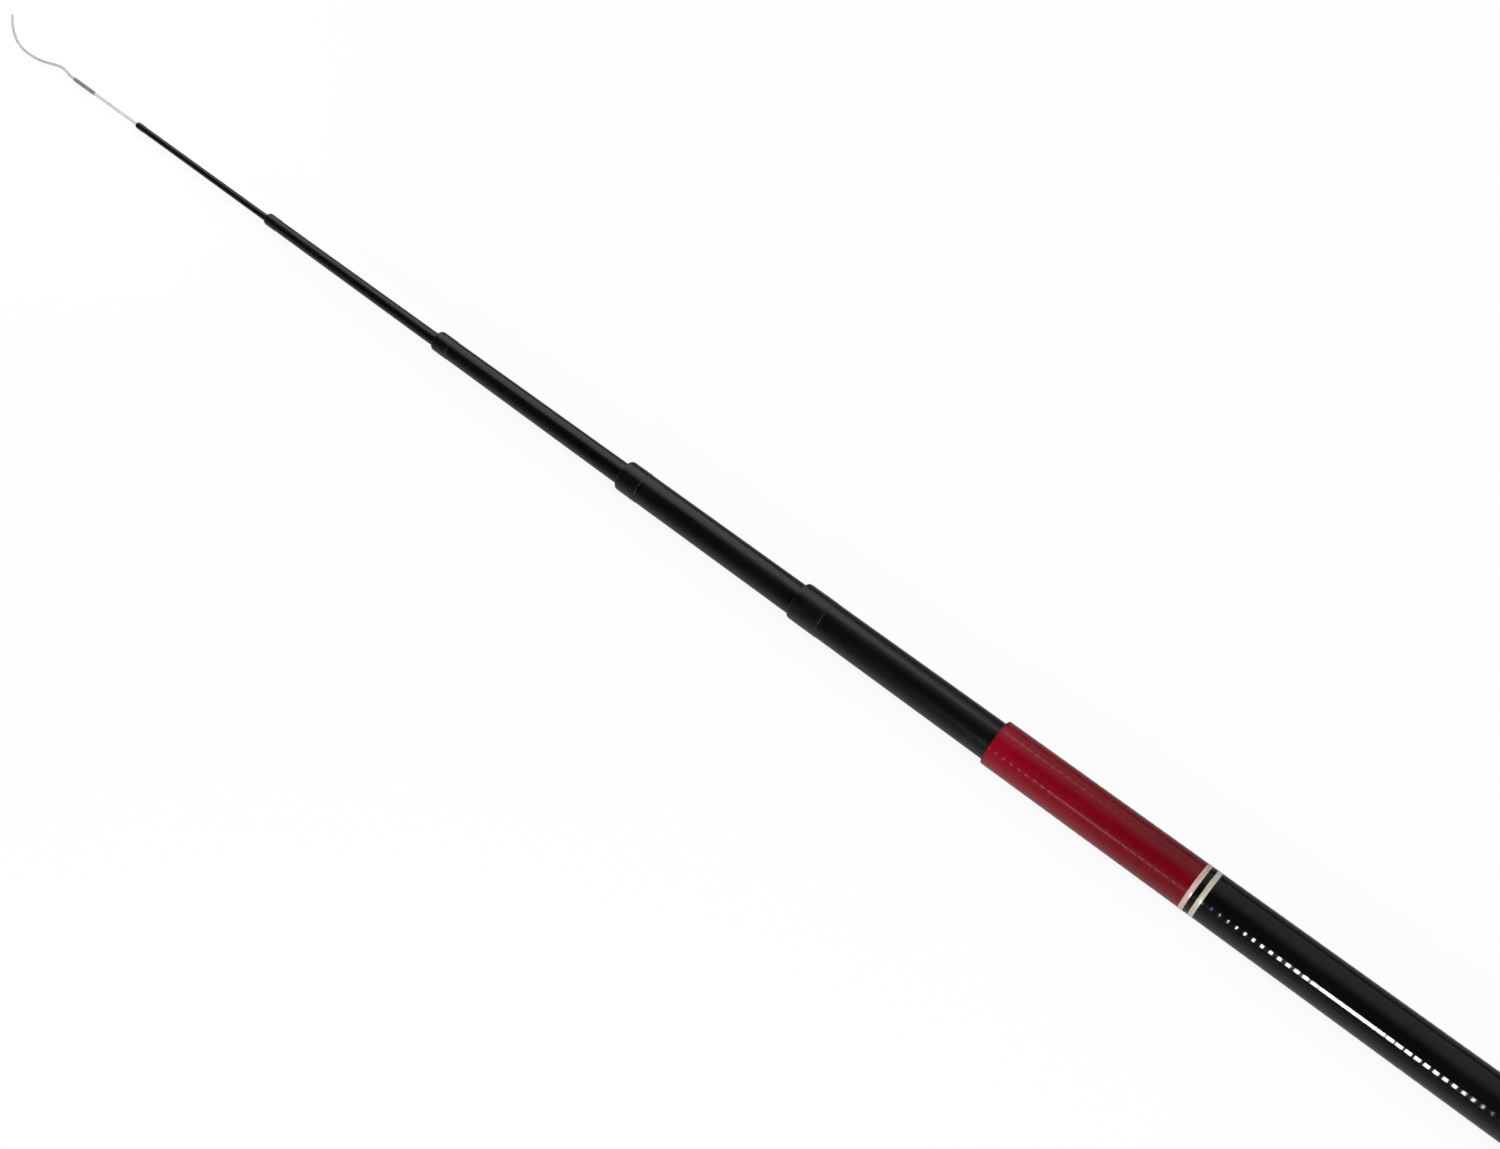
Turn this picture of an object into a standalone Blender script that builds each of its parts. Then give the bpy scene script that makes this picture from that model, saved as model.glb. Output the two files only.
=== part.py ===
# Telescopic fishing pole with a braided line tip, lying partly drawn out.
#
# The pole lies along X. The origin is the centre of the end cap's flat face, +X runs towards the tip
# and +Z is up. Six sections slide out of one another in front of the butt section, each one with its
# base inside the section before it.

import math

import bmesh
import bpy
from mathutils import Vector

MM = 0.001

# Butt section, in millimetres
BUTT_LENGTH = 550.0
BUTT_MOUTH_DIAMETER = 20.6
BUTT_REAR_DIAMETER = 20.9
BUTT_WALL = 0.85
FRONT_WRAP_LENGTH = 93.0
TRIM_RING_WIDTH = 2.1
TRIM_RING_GAP = 2.4
TRIM_RING_CROWN = 0.05
INLAY_DEPTH = 0.3

# Screw end cap, its seal and the collar glued into the butt
CAP_HEAD_LENGTH = 7.0
CAP_HEAD_DIAMETER = 20.5
CAP_RIB_COUNT = 30
CAP_RIB_DEPTH = 0.3
CAP_CHAMFER = 0.7
CAP_SPIGOT_LENGTH = 13.0
CAP_RECESS_DIAMETER = 12.8
CAP_RECESS_DEPTH = 5.0
COLLAR_LENGTH = 16.0
COLLAR_BORE = 15.3
SEAL_THICKNESS = 1.5
SEAL_SIDES = 10

# Sections in front of the butt, from the thickest to the thinnest.
# Shown is how far each one stands out of the section before it. Overlap is the parallel seat at its
# base, all of which stays inside when it is drawn right out.
SECOND_MOUTH_DIAMETER = 17.05
SECOND_WALL = 0.8
SECOND_SHOWN = 102.5
SECOND_OVERLAP = 60.0
SECOND_BINDING_LENGTH = 15.0

THIRD_MOUTH_DIAMETER = 14.2
THIRD_WALL = 0.75
THIRD_SHOWN = 99.5
THIRD_OVERLAP = 50.0
THIRD_BINDING_LENGTH = 11.0

FOURTH_MOUTH_DIAMETER = 9.65
FOURTH_WALL = 0.7
FOURTH_SHOWN = 118.0
FOURTH_OVERLAP = 42.0
FOURTH_BINDING_LENGTH = 9.0

FIFTH_MOUTH_DIAMETER = 5.85
FIFTH_WALL = 0.6
FIFTH_SHOWN = 118.5
FIFTH_OVERLAP = 34.0
FIFTH_BINDING_LENGTH = 7.0

SIXTH_MOUTH_DIAMETER = 3.15
SIXTH_WALL = 0.45
SIXTH_SHOWN = 99.5
SIXTH_OVERLAP = 26.0
SIXTH_BINDING_LENGTH = 5.0

# Solid tip, the sleeve that grips the braided line, and the line itself
TIP_FRONT_DIAMETER = 1.5
TIP_SHOWN = 34.5
TIP_OVERLAP = 20.0
SLEEVE_DIAMETER = 2.05
SLEEVE_LENGTH = 17.0
SLEEVE_BORE_DEPTH = 13.0
SLEEVE_NOSE_LENGTH = 2.0
LILIAN_DIAMETER = 1.4

# Details that the tubes share
CLOSED_STEP = 3.0
CLOSED_TIP_STEP = 0.5
BINDING_THICKNESS = 0.12
MOUTH_LIP = 0.5
EDGE_CHAMFER = 0.25

# Clearances
SEAT_CLEARANCE = 0.1
STOP_GAP = 0.3
FIT_GAP = 0.05
LAYER_GAP = 0.03
THREAD_CLEARANCE = 0.1
CORD_GAP = 0.3

# A partly drawn section lies over to the low side and towards +Y by this share of its play
LIE_SHARE = 0.5
LIE_ANGLE = math.radians(45.0)

# Facets round a turned piece
FACET_WIDTH = 1.6
FEWEST_FACETS = 12
MOST_FACETS = 48
SHARP_EDGE = math.radians(35.0)
MERGE_DISTANCE = 1e-7

# The braided line's route in millimetres from the middle of the sleeve's front face: straight out,
# down to the surface that the pole lies on, then along it in the loose curve that the line has
LILIAN_POINT_SPACING = 2.5 * LILIAN_DIAMETER
ROUTE_STEPS = 24
LILIAN_ROUTE = [
    (0.3, 0.0, 0.0),
    (2.0, 0.0, 0.0),
    (3.5, -0.15, 0.0),
    (6.0, -0.55, 0.0),
    (8.6, -1.0, -0.05),
    (11.5, -1.35, -0.3),
    (15.0, -1.4, -1.0),
    (19.0, -1.15, -2.2),
    (23.7, -0.9, -3.8),
    (28.7, -0.8, -5.5),
    (34.0, -0.85, -7.2),
    (39.0, -0.85, -8.3),
    (43.5, -0.85, -8.68),
    (47.8, -1.05, -8.68),
    (52.4, -1.8, -8.68),
    (57.5, -3.3, -8.68),
    (62.0, -5.3, -8.68),
    (66.1, -7.5, -8.68),
    (69.9, -9.8, -8.68),
    (73.2, -12.1, -8.68),
    (76.2, -14.3, -8.68),
]

# Colour, roughness and metallic value of each finish
FINISHES = {
    "black_lacquer": ((0.012, 0.013, 0.014), 0.12, 0.0),
    "red_lacquer": ((0.26, 0.004, 0.012), 0.2, 0.0),
    "cream_trim": ((0.72, 0.6, 0.48), 0.3, 0.0),
    "black_blank": ((0.016, 0.016, 0.017), 0.42, 0.0),
    "binding": ((0.022, 0.022, 0.024), 0.25, 0.0),
    "cap_plastic": ((0.018, 0.018, 0.02), 0.5, 0.0),
    "collar_plastic": ((0.03, 0.03, 0.03), 0.45, 0.0),
    "seal_rubber": ((0.02, 0.02, 0.02), 0.7, 0.0),
    "cushion_rubber": ((0.05, 0.05, 0.055), 0.85, 0.0),
    "pale_tip": ((0.55, 0.55, 0.53), 0.35, 0.0),
    "sleeve_thread": ((0.09, 0.09, 0.095), 0.6, 0.0),
    "lilian_braid": ((0.42, 0.42, 0.42), 0.8, 0.0),
}


def clear_scene():
    for thing in list(bpy.data.objects):
        bpy.data.objects.remove(thing)


def finish(name):
    material = bpy.data.materials.get(name)
    if material:
        return material
    colour, roughness, metallic = FINISHES[name]
    material = bpy.data.materials.new(name)
    material.use_nodes = True
    shader = material.node_tree.nodes["Principled BSDF"]
    shader.inputs["Base Color"].default_value = (*colour, 1.0)
    shader.inputs["Roughness"].default_value = roughness
    shader.inputs["Metallic"].default_value = metallic
    return material


def joint_empty(name, parent, x, y=0.0, z=0.0):
    empty = bpy.data.objects.new(name, None)
    empty.location = (x * MM, y * MM, z * MM)
    empty.parent = parent
    bpy.context.collection.objects.link(empty)
    return empty


def place(name, data, finish_name, parent):
    data.materials.append(finish(finish_name))
    thing = bpy.data.objects.new(name, data)
    thing.parent = parent
    bpy.context.collection.objects.link(thing)
    return thing


def facet_count(radius):
    # A multiple of four, turned by half a facet, puts a flat facet underneath
    wanted = 4 * round(2 * math.pi * radius / FACET_WIDTH / 4)
    return max(FEWEST_FACETS, min(MOST_FACETS, wanted))


def turned_mesh(name, profile, facets, closed):
    # Spins a profile of (x, radius) points about the X axis
    mesh_builder = bmesh.new()
    start = math.pi / facets
    points = [
        mesh_builder.verts.new((x * MM, r * MM * math.sin(start), -r * MM * math.cos(start)))
        for x, r in profile
    ]
    last = len(points) if closed else len(points) - 1
    edges = [mesh_builder.edges.new((points[i], points[(i + 1) % len(points)])) for i in range(last)]
    bmesh.ops.spin(
        mesh_builder,
        geom=points + edges,
        cent=(0, 0, 0),
        axis=(1, 0, 0),
        angle=2 * math.pi,
        steps=facets,
        use_merge=True,
    )
    bmesh.ops.remove_doubles(mesh_builder, verts=mesh_builder.verts, dist=MERGE_DISTANCE)
    bmesh.ops.recalc_face_normals(mesh_builder, faces=mesh_builder.faces)
    mesh = bpy.data.meshes.new(name)
    mesh_builder.to_mesh(mesh)
    mesh_builder.free()
    mesh.shade_smooth()
    mesh.set_sharp_from_angle(angle=SHARP_EDGE)
    return mesh


def ring_piece(name, profile, finish_name, parent, facets=None):
    # A piece with a hole through it: the profile is a closed loop round the wall
    facets = facets or facet_count(max(r for x, r in profile))
    return place(name, turned_mesh(name, profile, facets, True), finish_name, parent)


def solid_piece(name, profile, finish_name, parent):
    # A piece without a hole: the profile starts and ends on the axis
    facets = facet_count(max(r for x, r in profile))
    return place(name, turned_mesh(name, profile, facets, False), finish_name, parent)


class Tube:
    # A tapered tube with a parallel seat at its base. Its own X axis has zero at its mouth and runs
    # towards the tip.

    def __init__(self, length, mouth_radius, base_radius, wall, seat):
        self.length = length
        self.mouth_radius = mouth_radius
        self.base_radius = base_radius
        self.wall = wall
        self.taper_length = length - seat
        self.chamfer = min(EDGE_CHAMFER, wall / 3)
        self.facets = facet_count(base_radius)

    def radius(self, behind_mouth):
        share = min(1.0, behind_mouth / self.taper_length)
        return self.mouth_radius + (self.base_radius - self.mouth_radius) * share

    def bore(self, behind_mouth):
        return self.radius(behind_mouth) - self.wall

    def mouth_edge(self):
        return [(0.0, self.radius(0.0) - self.chamfer), (-self.chamfer, self.radius(self.chamfer))]

    def base_and_bore(self):
        inner_chamfer = self.chamfer / 2
        return [
            (-self.taper_length, self.base_radius),
            (-self.length + self.chamfer, self.base_radius),
            (-self.length, self.base_radius - self.chamfer),
            (-self.length, self.bore(self.length) + inner_chamfer),
            (-self.length + inner_chamfer, self.bore(self.length)),
            (-self.taper_length, self.bore(self.taper_length)),
            (-inner_chamfer, self.bore(inner_chamfer)),
            (0.0, self.bore(0.0) + inner_chamfer),
        ]


def build_butt(butt, rear_end):
    # The front wrap and the trim rings are let into the tube, so that they lie flush in its taper.
    # The wrap and the ring behind it share one groove, and the other ring has its own.
    wrap_front = MOUTH_LIP
    wrap_rear = wrap_front + FRONT_WRAP_LENGTH
    front_ring = wrap_rear + LAYER_GAP
    rear_ring = front_ring + TRIM_RING_WIDTH + TRIM_RING_GAP
    grooves = [
        (wrap_front - LAYER_GAP, front_ring + TRIM_RING_WIDTH + LAYER_GAP),
        (rear_ring - LAYER_GAP, rear_ring + TRIM_RING_WIDTH + LAYER_GAP),
    ]
    floor_depth = INLAY_DEPTH + LAYER_GAP

    outline = butt.mouth_edge()
    for front, rear in grooves:
        outline += [
            (-front, butt.radius(front)),
            (-front, butt.radius(front) - floor_depth),
            (-rear, butt.radius(rear) - floor_depth),
            (-rear, butt.radius(rear)),
        ]
    mouth = joint_empty("butt_mouth", rear_end, BUTT_LENGTH)
    ring_piece("butt_tube", outline + butt.base_and_bore(), "black_lacquer", mouth, butt.facets)
    build_inlay("front_wrap", butt, wrap_front, FRONT_WRAP_LENGTH, 0.0, "red_lacquer", mouth)
    build_inlay("trim_ring_front", butt, front_ring, TRIM_RING_WIDTH, TRIM_RING_CROWN, "cream_trim", mouth)
    build_inlay("trim_ring_rear", butt, rear_ring, TRIM_RING_WIDTH, TRIM_RING_CROWN, "cream_trim", mouth)
    return mouth


def build_inlay(name, tube, front, length, crown, finish_name, parent):
    # A thin sleeve let into the tube's wall, with an outer face that stands proud by its crown
    middle = front + length / 2
    rear = front + length
    outer_face = [
        (-front, tube.radius(front)),
        (-middle, tube.radius(middle) + crown),
        (-rear, tube.radius(rear)),
    ]
    inner_face = [
        (-rear, tube.radius(rear) - INLAY_DEPTH),
        (-front, tube.radius(front) - INLAY_DEPTH),
    ]
    ring_piece(name, outer_face + inner_face, finish_name, parent, tube.facets)


def build_end(butt, rear_end, tube_end):
    # The collar is glued into the butt, and the cap's spigot screws into the collar
    collar_front = tube_end + COLLAR_LENGTH
    collar_radius = butt.bore(butt.length) - FIT_GAP
    collar_bore = COLLAR_BORE / 2
    chamfer = EDGE_CHAMFER
    ring_piece(
        "end_collar",
        [
            (collar_front, collar_radius - chamfer),
            (collar_front - chamfer, collar_radius),
            (tube_end, collar_radius),
            (tube_end, collar_bore + chamfer),
            (tube_end + chamfer, collar_bore),
            (collar_front - chamfer, collar_bore),
            (collar_front, collar_bore + chamfer),
        ],
        "collar_plastic",
        rear_end,
    )

    spigot_radius = collar_bore - THREAD_CLEARANCE
    recess_radius = CAP_RECESS_DIAMETER / 2
    recess_floor = CAP_HEAD_LENGTH + CAP_SPIGOT_LENGTH - CAP_RECESS_DEPTH
    spigot_front = CAP_HEAD_LENGTH + CAP_SPIGOT_LENGTH
    head_radius = CAP_HEAD_DIAMETER / 2

    seal_travel = joint_empty("cap_travel", rear_end, CAP_HEAD_LENGTH)
    cap_turn = joint_empty("cap_turn", seal_travel, -CAP_HEAD_LENGTH)

    head_facets = 2 * CAP_RIB_COUNT
    cap_mesh = turned_mesh(
        "end_cap",
        [
            (0.0, 0.0),
            (0.0, head_radius - CAP_CHAMFER - CAP_RIB_DEPTH),
            (CAP_CHAMFER, head_radius),
            (CAP_HEAD_LENGTH - CAP_CHAMFER, head_radius),
            (CAP_HEAD_LENGTH, head_radius - CAP_CHAMFER),
            (CAP_HEAD_LENGTH, spigot_radius),
            (spigot_front - chamfer, spigot_radius),
            (spigot_front, spigot_radius - chamfer),
            (spigot_front, recess_radius),
            (recess_floor, recess_radius),
            (recess_floor, 0.0),
        ],
        head_facets,
        False,
    )
    press_grip_ribs(cap_mesh, head_radius, head_facets)
    place("end_cap", cap_mesh, "cap_plastic", cap_turn)

    cushion_radius = recess_radius - FIT_GAP
    solid_piece(
        "cap_cushion",
        [
            (recess_floor + FIT_GAP, 0.0),
            (recess_floor + FIT_GAP, cushion_radius),
            (collar_front - chamfer, cushion_radius),
            (collar_front, cushion_radius - chamfer),
            (collar_front, 0.0),
        ],
        "cushion_rubber",
        cap_turn,
    )

    seal_radius = SEAL_THICKNESS / 2
    seal_circle = spigot_radius + FIT_GAP + seal_radius
    seal_middle = FIT_GAP + seal_radius
    seal_profile = []
    for side in range(SEAL_SIDES):
        turn = 2 * math.pi * side / SEAL_SIDES
        x = seal_middle + seal_radius * math.cos(turn)
        seal_profile.append((x, seal_circle + seal_radius * math.sin(turn)))
    ring_piece("cap_seal", seal_profile, "seal_rubber", seal_travel)
    return collar_front


def press_grip_ribs(mesh, head_radius, facets):
    # Every second column of the head's rim is pressed in, which leaves straight grip ribs
    for vertex in mesh.vertices:
        radius = math.hypot(vertex.co.y, vertex.co.z)
        if radius < (head_radius - CAP_CHAMFER / 2) * MM:
            continue
        turn = math.atan2(vertex.co.y, -vertex.co.z) / (2 * math.pi) * facets
        if round(turn - 0.5) % 2:
            inward = (radius - CAP_RIB_DEPTH * MM) / radius
            vertex.co.y *= inward
            vertex.co.z *= inward
    mesh.update()


def build_binding(name, tube, length, parent):
    # A thread winding round the mouth, with the facets of the tube that it lies on
    front = MOUTH_LIP
    rear = MOUTH_LIP + length
    low = LAYER_GAP
    high = LAYER_GAP + BINDING_THICKNESS
    ring_piece(
        name,
        [
            (-front, tube.radius(front) + low),
            (-front, tube.radius(front) + high),
            (-rear, tube.radius(rear) + high),
            (-rear, tube.radius(rear) + low),
        ],
        "binding",
        parent,
        tube.facets,
    )


def lie_offset(outer, inner, shown):
    # How far a section lies over from the middle of the bore it runs in, where it has least play
    places = (shown, inner.taper_length, inner.length)
    return LIE_SHARE * min(outer.bore(place - shown) - inner.radius(place) for place in places)


def build_sections(butt, butt_mouth, base_plane):
    sections = [
        ("second", SECOND_MOUTH_DIAMETER, SECOND_WALL, SECOND_SHOWN, SECOND_OVERLAP, SECOND_BINDING_LENGTH),
        ("third", THIRD_MOUTH_DIAMETER, THIRD_WALL, THIRD_SHOWN, THIRD_OVERLAP, THIRD_BINDING_LENGTH),
        ("fourth", FOURTH_MOUTH_DIAMETER, FOURTH_WALL, FOURTH_SHOWN, FOURTH_OVERLAP, FOURTH_BINDING_LENGTH),
        ("fifth", FIFTH_MOUTH_DIAMETER, FIFTH_WALL, FIFTH_SHOWN, FIFTH_OVERLAP, FIFTH_BINDING_LENGTH),
        ("sixth", SIXTH_MOUTH_DIAMETER, SIXTH_WALL, SIXTH_SHOWN, SIXTH_OVERLAP, SIXTH_BINDING_LENGTH),
    ]
    outer = butt
    parent = butt_mouth
    closed_mouth = BUTT_LENGTH
    for name, mouth_diameter, wall, shown, overlap, binding_length in sections:
        # When the pole is shut, every base rests near the end cap's cushion and every mouth
        # stands one step proud of the mouth before it
        closed_mouth += CLOSED_STEP
        length = closed_mouth - base_plane
        base_radius = outer.bore(0.0) - SEAT_CLEARANCE
        tube = Tube(length, mouth_diameter / 2, base_radius, wall, overlap)
        offset = lie_offset(outer, tube, shown)
        aside = offset * math.sin(LIE_ANGLE)
        down = -offset * math.cos(LIE_ANGLE)
        slide = joint_empty(f"{name}_slide", parent, shown, aside, down)
        profile = tube.mouth_edge() + tube.base_and_bore()
        ring_piece(f"{name}_tube", profile, "black_blank", slide, tube.facets)
        build_binding(f"{name}_binding", tube, binding_length, slide)
        # The section centres itself in the mouth as it is drawn right out
        report_slide(name, CLOSED_STEP - shown, length - shown - overlap, aside, down)
        outer = tube
        parent = slide
    return outer, parent, closed_mouth


def report_slide(name, closed_travel, drawn_travel, aside, down):
    path = Vector((drawn_travel, -aside, -down)).normalized()
    print(f"{name} slide: {closed_travel:.2f} to {drawn_travel:.2f} mm along", [round(c, 7) for c in path])


def build_tip(outer, parent, closed_mouth, base_plane):
    # The solid tip runs in the last tube. Its sleeve grips the tip and the braided line.
    slide = joint_empty("tip_slide", parent, TIP_SHOWN)
    front_radius = TIP_FRONT_DIAMETER / 2
    base_radius = outer.bore(0.0) - SEAT_CLEARANCE
    rod_front = SLEEVE_BORE_DEPTH - FIT_GAP
    rod_length = closed_mouth + CLOSED_TIP_STEP + rod_front - base_plane
    rod_base = rod_front - rod_length
    chamfer = min(EDGE_CHAMFER, front_radius / 3)
    # The part inside the sleeve is parallel, the taper starts behind it, and the base is a seat
    solid_piece(
        "tip_rod",
        [
            (rod_front, 0.0),
            (rod_front, front_radius - chamfer),
            (rod_front - chamfer, front_radius),
            (0.0, front_radius),
            (rod_base + TIP_OVERLAP, base_radius),
            (rod_base + chamfer, base_radius),
            (rod_base, base_radius - chamfer),
            (rod_base, 0.0),
        ],
        "pale_tip",
        slide,
    )

    sleeve_radius = SLEEVE_DIAMETER / 2
    nose_radius = LILIAN_DIAMETER / 2 + FIT_GAP
    bore_radius = front_radius + FIT_GAP
    sleeve_chamfer = min(EDGE_CHAMFER, (sleeve_radius - bore_radius) / 3)
    solid_piece(
        "tip_sleeve",
        [
            (SLEEVE_LENGTH, 0.0),
            (SLEEVE_LENGTH, nose_radius),
            (SLEEVE_LENGTH - SLEEVE_NOSE_LENGTH, sleeve_radius),
            (sleeve_chamfer, sleeve_radius),
            (0.0, sleeve_radius - sleeve_chamfer),
            (0.0, bore_radius),
            (SLEEVE_BORE_DEPTH, bore_radius),
            (SLEEVE_BORE_DEPTH, 0.0),
        ],
        "sleeve_thread",
        slide,
    )
    drawn_travel = rod_length - rod_front - TIP_SHOWN - TIP_OVERLAP
    report_slide("tip", CLOSED_TIP_STEP - TIP_SHOWN, drawn_travel, 0.0, 0.0)
    build_lilian(slide)


def smooth_route(points, spacing):
    # Reads a smooth curve through the route's points at an even spacing
    fine = []
    for i in range(len(points) - 1):
        before = points[max(i - 1, 0)]
        start = points[i]
        end = points[i + 1]
        after = points[min(i + 2, len(points) - 1)]
        for k in range(ROUTE_STEPS):
            u = k / ROUTE_STEPS
            fine.append(
                0.5
                * (
                    2 * start
                    + (end - before) * u
                    + (2 * before - 5 * start + 4 * end - after) * u**2
                    + (3 * start - before - 3 * end + after) * u**3
                )
            )
    fine.append(points[-1])
    total = sum((b - a).length for a, b in zip(fine, fine[1:]))
    count = max(2, round(total / spacing))
    even = [fine[0]]
    travelled = 0.0
    for a, b in zip(fine, fine[1:]):
        travelled += (b - a).length
        if len(even) < count and travelled >= len(even) * total / count:
            even.append(b)
    even.append(fine[-1])
    return even, total


def build_lilian(parent):
    start = Vector((SLEEVE_LENGTH, 0.0, 0.0))
    route = [start + Vector(point) for point in LILIAN_ROUTE]
    route[0].x = SLEEVE_LENGTH + CORD_GAP
    points, length = smooth_route(route, LILIAN_POINT_SPACING)
    curve = bpy.data.curves.new("lilian", "CURVE")
    curve.dimensions = "3D"
    curve.bevel_depth = LILIAN_DIAMETER / 2 * MM
    curve.bevel_resolution = 2
    curve.use_fill_caps = True
    spline = curve.splines.new("POLY")
    spline.points.add(len(points) - 1)
    for spot, point in zip(spline.points, points):
        spot.co = (*(point * MM), 1.0)
    place("lilian", curve, "lilian_braid", parent)
    print(f"lilian: {length:.1f} mm in {len(points)} points")


def main():
    clear_scene()
    rear_end = joint_empty("rear_end", None, 0.0)
    tube_end = CAP_HEAD_LENGTH + SEAL_THICKNESS + 2 * FIT_GAP
    length = BUTT_LENGTH - tube_end
    butt = Tube(length, BUTT_MOUTH_DIAMETER / 2, BUTT_REAR_DIAMETER / 2, BUTT_WALL, COLLAR_LENGTH)
    butt_mouth = build_butt(butt, rear_end)
    collar_front = build_end(butt, rear_end, tube_end)
    base_plane = collar_front + STOP_GAP
    last_tube, last_slide, closed_mouth = build_sections(butt, butt_mouth, base_plane)
    build_tip(last_tube, last_slide, closed_mouth, base_plane)
    bpy.context.view_layer.update()


main()
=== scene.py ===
import math

import bpy
import numpy as np
from mathutils import Matrix, Vector


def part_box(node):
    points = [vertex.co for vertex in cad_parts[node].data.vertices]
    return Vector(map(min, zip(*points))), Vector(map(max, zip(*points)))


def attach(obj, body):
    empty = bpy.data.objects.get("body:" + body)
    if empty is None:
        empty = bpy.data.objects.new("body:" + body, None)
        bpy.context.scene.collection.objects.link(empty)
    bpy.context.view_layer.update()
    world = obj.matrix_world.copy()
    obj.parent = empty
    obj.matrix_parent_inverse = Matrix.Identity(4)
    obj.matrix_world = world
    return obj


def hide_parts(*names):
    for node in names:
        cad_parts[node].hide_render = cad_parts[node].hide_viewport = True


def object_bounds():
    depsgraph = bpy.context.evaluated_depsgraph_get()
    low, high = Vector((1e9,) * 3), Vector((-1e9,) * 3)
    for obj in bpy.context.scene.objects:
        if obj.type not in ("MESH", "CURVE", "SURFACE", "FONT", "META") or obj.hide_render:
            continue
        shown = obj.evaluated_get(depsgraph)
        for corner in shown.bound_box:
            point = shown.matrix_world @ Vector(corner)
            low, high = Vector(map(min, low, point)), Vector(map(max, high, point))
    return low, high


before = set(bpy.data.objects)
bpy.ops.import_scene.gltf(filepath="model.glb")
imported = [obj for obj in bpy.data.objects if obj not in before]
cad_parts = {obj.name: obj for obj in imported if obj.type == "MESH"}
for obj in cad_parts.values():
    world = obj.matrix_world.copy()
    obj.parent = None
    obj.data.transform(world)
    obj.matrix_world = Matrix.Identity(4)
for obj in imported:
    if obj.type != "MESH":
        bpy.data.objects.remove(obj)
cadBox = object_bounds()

# Lengths are in millimetres here and become metres where a mesh or a lamp is made.
# The pole lies along X with its tip towards +X, and +Z is up.
mm = 0.001
turn = 2 * math.pi
sharpFrom = 40.0    # degrees between two faces, from which their edge stays sharp

print("camera: set to the picture's view of the pole")

view = {
    "lens": 42.0,         # on a sensor 36 mm wide
    "aimAt": 677.2,       # place along the pole nearest the middle of the picture
    "distance": 746.0,    # from the lens to that place
    "leanAway": 20.2,     # degrees by which the tip leans away from the camera
    "elevation": 62.0,    # degrees above the floor, seen square to the pole
    "slope": 35.89,       # degrees by which the pole falls to the right in the picture
    "aside": 0.261,       # degrees by which the pole passes off the middle
}


def placeCamera():
    lean = math.radians(view["leanAway"])
    up = math.radians(view["elevation"])
    forward = Vector((math.sin(lean), -math.cos(lean) * math.cos(up), -math.cos(lean) * math.sin(up)))
    along = Vector((1, 0, 0))
    toButt = -(along - forward * forward.dot(along)).normalized()
    across = forward.cross(toButt)
    spot = Vector((view["aimAt"] * mm, 0, 0)) - forward * view["distance"] * mm

    aside = math.radians(view["aside"])
    forward, across = (
        forward * math.cos(aside) + across * math.sin(aside),
        across * math.cos(aside) - forward * math.sin(aside),
    )
    slope = math.radians(view["slope"])
    right = toButt * math.cos(slope) - across * math.sin(slope)
    down = toButt * math.sin(slope) + across * math.cos(slope)

    lens = bpy.data.cameras.new("camera")
    lens.lens = view["lens"]
    lens.sensor_width = 36.0
    lens.clip_start = 0.02
    lens.clip_end = 40.0
    eye = bpy.data.objects.new("camera", lens)
    turned = Matrix((right, -down, -forward)).transposed().to_4x4()
    eye.matrix_world = Matrix.Translation(spot) @ turned
    bpy.context.scene.collection.objects.link(eye)
    bpy.context.scene.camera = eye


placeCamera()
bpy.context.scene.view_settings.view_transform = "Standard"


print("helpers: colours, nodes and turned meshes")


def hexColour(text):
    # sRGB hex to the linear value that the shaders take
    parts = [int(text[i:i + 2], 16) / 255 for i in (1, 3, 5)]
    linear = [c / 12.92 if c <= 0.04045 else ((c + 0.055) / 1.055) ** 2.4 for c in parts]
    return (*linear, 1.0)


def addNode(tree, kind, inputs=None, **settings):
    # Adds one node with its settings. Each input, by its name or number, takes a value, another
    # node's output, or a node, which stands for its first output in use.
    made = tree.nodes.new(kind)
    for name, value in settings.items():
        setattr(made, name, value)
    for name, value in (inputs or {}).items():
        if isinstance(value, bpy.types.Node):
            value = next(out for out in value.outputs if out.enabled)
        if isinstance(value, bpy.types.NodeSocket):
            tree.links.new(value, made.inputs[name])
        else:
            made.inputs[name].default_value = value
    return made


def startMaterial(name):
    material = bpy.data.materials.new(name)
    material.use_nodes = True
    tree = material.node_tree
    tree.nodes.clear()
    return material, tree


def repeats(along, across):
    # The mapping scale at which a pattern repeats at these distances in mm, along and round the pole
    return (1 / (along * mm), 1 / (across * mm), 1 / (across * mm))


def arc(x, r, size, start, end, steps=4):
    # Points on a rounded corner, by angle from +X towards the outside
    return [
        (x + size * math.cos(math.radians(a)), r + size * math.sin(math.radians(a)))
        for a in np.linspace(start, end, steps + 1)
    ]


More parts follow.
